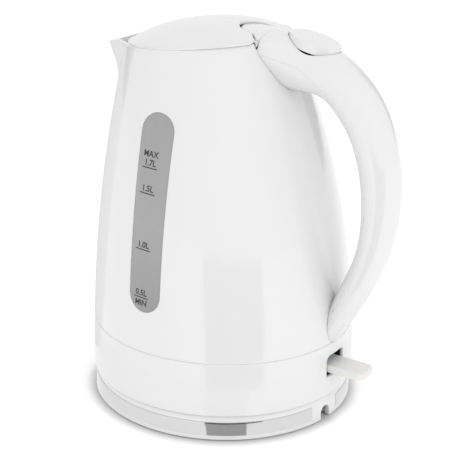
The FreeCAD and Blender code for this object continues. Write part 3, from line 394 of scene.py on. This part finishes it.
def mark_words(name, words, z, height):
    """Small lettering centred on the window, its foot at z."""
    bpy.ops.object.text_add(location=(0, 0, 0))
    text = bpy.context.object
    text.data.body = words
    text.data.size = height * FONT_SHARE
    text.data.align_x = "CENTER"
    text.data.offset = STROKE_BOLD
    text.data.resolution_u = 3
    bpy.ops.object.convert(target="MESH")
    text.rotation_euler = (math.pi / 2, -GAUGE_LEAN, 0)
    text.location = (gauge_middle(z), GAUGE_LOW.y - PRINT_START, z)
    apply_place(text)
    print_on_gauge(text, name)


for tag, z, _ in MARKS:
    mark_line("mark_line_" + tag, z, MARK_WIDTH)
for tag, z, litres in MARKS:
    mark_words("mark_litres_" + tag, litres, z + WORDS_ABOVE, WORD_HEIGHT)
mark_words("mark_word_max", "MAX", MAX_FOOT, WORD_HEIGHT)
mark_words("mark_word_min", "MIN", MIN_FOOT, WORD_HEIGHT)


# ---------------------------------------------------------------- switch slot

SLEEVE_LOW = 26.4 * MM
SLEEVE_HIGH = 43.6 * MM
SLEEVE_HALF = 12.6 * MM
SLEEVE_INNER = 62.0 * MM
SLEEVE_OUTER = 78.4 * MM
SLEEVE_WALL = 0.8 * MM


def slot_painted_shade_liner():
    """Black sleeve behind the switch's slot, open at both ends for the lever and its tail; its black is
    painted shade that darkens the inside of the slot.
    """
    middle = ((SLEEVE_INNER + SLEEVE_OUTER) / 2, 0, (SLEEVE_LOW + SLEEVE_HIGH) / 2)
    bpy.ops.mesh.primitive_cube_add(size=1.0, location=middle)
    sleeve = bpy.context.object
    sleeve.scale = (SLEEVE_OUTER - SLEEVE_INNER, 2 * SLEEVE_HALF, SLEEVE_HIGH - SLEEVE_LOW)
    apply_place(sleeve)
    bpy.ops.object.mode_set(mode="EDIT")
    bpy.ops.mesh.select_mode(type="FACE")
    bpy.ops.mesh.select_all(action="DESELECT")
    bpy.ops.object.mode_set(mode="OBJECT")
    for face in sleeve.data.polygons:
        face.select = abs(face.normal.x) > 0.9
    bpy.ops.object.mode_set(mode="EDIT")
    bpy.ops.mesh.delete(type="FACE")
    bpy.ops.object.mode_set(mode="OBJECT")
    modify(sleeve, "SOLIDIFY", thickness=SLEEVE_WALL, offset=1.0)
    modify(sleeve, "BEVEL", width=0.2 * MM, segments=2)
    smooth(sleeve)
    # near-black finish: painted shade for the inside of the switch slot
    finish_piece(sleeve, "slot_painted_shade_liner", "kettle", "dark_plastic")


slot_painted_shade_liner()


# ---------------------------------------------------------------- studio

FLOOR_R = 6.0
FLOOR_GLOW = 0.22
GLOW_FROM = 0.080          # no glow from here inwards, so the base keeps its contact shadow
GLOW_FULL = 0.089
PAINTED_CONTACT_SHADOW = 0.66        # painted contact shadow: shade of the paper right against the base
FLAG_HEIGHT = 0.0004       # the sheets lie just off the table
RING_HEIGHT = 0.0003
RING_IN = 0.079
RING_OUT = 0.160
RING_SHADE = 0.95
CARD_AWAY = 2.4
CARD_MIDDLE = 0.8
CARD_WIDTH = 1.1
CARD_HEIGHT = 2.2
CARD_SHADE = 0.25
WORLD_STRENGTH = 0.92
SOFTBOX = (1.6, 1.6)
AIM = (0, 0, 0.1)


def white_floor():
    """Light table: pale, matt, and lit a little from below, with a painted contact shadow: darker paper and
    no glow right around the base.
    """
    bpy.ops.mesh.primitive_circle_add(vertices=96, radius=FLOOR_R, fill_type="NGON")
    floor = bpy.context.object
    floor.name = "floor"
    f = Finish("floor white")
    apart = f.node("ShaderNodeVectorMath", {"operation": "LENGTH"}, {0: f.place()}, "Value")
    lit = f.node("ShaderNodeMapRange", {"interpolation_type": "SMOOTHSTEP"},
                 {"Value": apart, "From Min": GLOW_FROM, "From Max": GLOW_FULL})
    paper = f.noise(6.0, 2.0)
    # painted contact shadow: near the base the paper takes the darker shade, and the glow below is held back
    # there too
    f.set(Base_Color=f.mix(lit, grey(PAINTED_CONTACT_SHADOW), f.mix(paper, grey(0.90), grey(0.92))))
    f.set(Roughness=0.9, Specular_IOR_Level=0.1)
    f.set(Emission_Color=f.mix(lit, grey(0.0), grey(1.0)), Emission_Strength=FLOOR_GLOW)
    floor.data.materials.append(f.material)


def only_mirrored(sheet, shade):
    """An even grey that reflections see and nothing else does."""
    f = Finish(sheet.name)
    f.set(Base_Color=grey(0.0), Emission_Color=grey(shade), Emission_Strength=1.0, Roughness=1.0)
    f.set(Specular_IOR_Level=0.0)
    sheet.data.materials.append(f.material)
    sheet.visible_camera = False
    sheet.visible_diffuse = False
    sheet.visible_transmission = False
    sheet.visible_shadow = False


def floor_flag(name, first, second, first_heading, second_heading, reach, shade):
    """A dark sheet on the table that only reflections see: a wedge between two headings, in degrees."""
    corners = []
    for spot, heading, out in ((first, first_heading, 0.0), (first, first_heading, reach),
                               (second, second_heading, reach), (second, second_heading, 0.0)):
        a = math.radians(heading)
        corners.append((spot[0] + out * math.cos(a), spot[1] + out * math.sin(a), FLAG_HEIGHT))
    sheet = bpy.data.meshes.new(name)
    sheet.from_pydata(corners, [], [(0, 1, 2, 3)])
    flag = bpy.data.objects.new(name, sheet)
    bpy.context.scene.collection.objects.link(flag)
    only_mirrored(flag, shade)


def band_ring():
    """Ring on the table that only reflections see, so that the band mirrors one even grey."""
    bpy.ops.mesh.primitive_circle_add(vertices=96, radius=RING_IN, fill_type="NOTHING")
    ring = bpy.context.object
    ring.name = "band ring"
    bpy.ops.object.mode_set(mode="EDIT")
    bpy.ops.mesh.extrude_edges_move()
    bpy.ops.transform.resize(value=(RING_OUT / RING_IN, RING_OUT / RING_IN, 1.0), center_override=(0, 0, 0))
    bpy.ops.mesh.select_all(action="SELECT")
    bpy.ops.mesh.normals_make_consistent(inside=False)
    bpy.ops.transform.translate(value=(0, 0, RING_HEIGHT))
    bpy.ops.object.mode_set(mode="OBJECT")
    only_mirrored(ring, RING_SHADE)


def edge_card(name, heading):
    """Upright card far behind the kettle that only glancing reflections see, for grey outlines."""
    a = math.radians(heading)
    middle = (CARD_AWAY * math.cos(a), CARD_AWAY * math.sin(a), CARD_MIDDLE)
    bpy.ops.mesh.primitive_plane_add(size=1.0, location=middle, rotation=(math.pi / 2, 0, a - math.pi / 2))
    card = bpy.context.object
    card.name = name
    card.scale = (CARD_WIDTH, CARD_HEIGHT, 1.0)
    apply_place(card)
    only_mirrored(card, CARD_SHADE)


def softbox(name, place, power):
    bpy.ops.object.light_add(type="AREA", location=place)
    lamp = bpy.context.object
    lamp.name = name
    lamp.data.shape = "RECTANGLE"
    lamp.data.size, lamp.data.size_y = SOFTBOX
    lamp.data.energy = power
    lamp.visible_glossy = False
    lamp.rotation_euler = (Vector(AIM) - Vector(place)).to_track_quat("-Z", "Y").to_euler()


world = bpy.data.worlds.new("studio")
bpy.context.scene.world = world
world.use_nodes = True
world.node_tree.nodes["Background"].inputs["Color"].default_value = grey(1.0)
world.node_tree.nodes["Background"].inputs["Strength"].default_value = WORLD_STRENGTH
white_floor()
band_ring()
floor_flag("band flag", first=(0.0375, -0.0750), second=(0.0580, -0.0605),
           first_heading=-72.5, second_heading=-35.8, reach=0.075, shade=0.41)
floor_flag("body flag", first=(0.0601, -0.1465), second=(0.1342, -0.0813),
           first_heading=-72.5, second_heading=-21.8, reach=3.0, shade=0.0)
floor_flag("back flag", first=(-0.120, -0.045), second=(-0.02, 0.15),
           first_heading=180.0, second_heading=108.0, reach=4.0, shade=0.75)
edge_card("left card", heading=168.0)
edge_card("right card", heading=78.0)
softbox("key", place=(1.7, -0.6, 1.5), power=6.0)
softbox("fill", place=(0.2, -1.4, 2.2), power=3.0)


# ---------------------------------------------------------------- camera

VIEW_AZIMUTH = 57.0        # degrees round from -Y towards the handle
VIEW_DISTANCE = 0.7397
VIEW_HEIGHT = 0.3761
VIEW_DOWN = 20.27
VIEW_YAW = 0.21
VIEW_ROLL = 1.18
LENS = 99.9
SENSOR = 36.0

azimuth = math.radians(VIEW_AZIMUTH)
bpy.ops.object.camera_add()
camera = bpy.context.object
camera.data.lens = LENS
camera.data.sensor_width = SENSOR
place = Vector((VIEW_DISTANCE * math.cos(azimuth), -VIEW_DISTANCE * math.sin(azimuth), VIEW_HEIGHT))
heading = math.radians(90.0 - VIEW_AZIMUTH - VIEW_YAW)
camera.matrix_world = (
    Matrix.Translation(place)
    @ Matrix.Rotation(heading, 4, "Z")
    @ Matrix.Rotation(math.radians(90.0 - VIEW_DOWN), 4, "X")
    @ Matrix.Rotation(math.radians(VIEW_ROLL), 4, "Z")
)
bpy.context.scene.camera = camera
bpy.context.scene.view_settings.view_transform = "Standard"
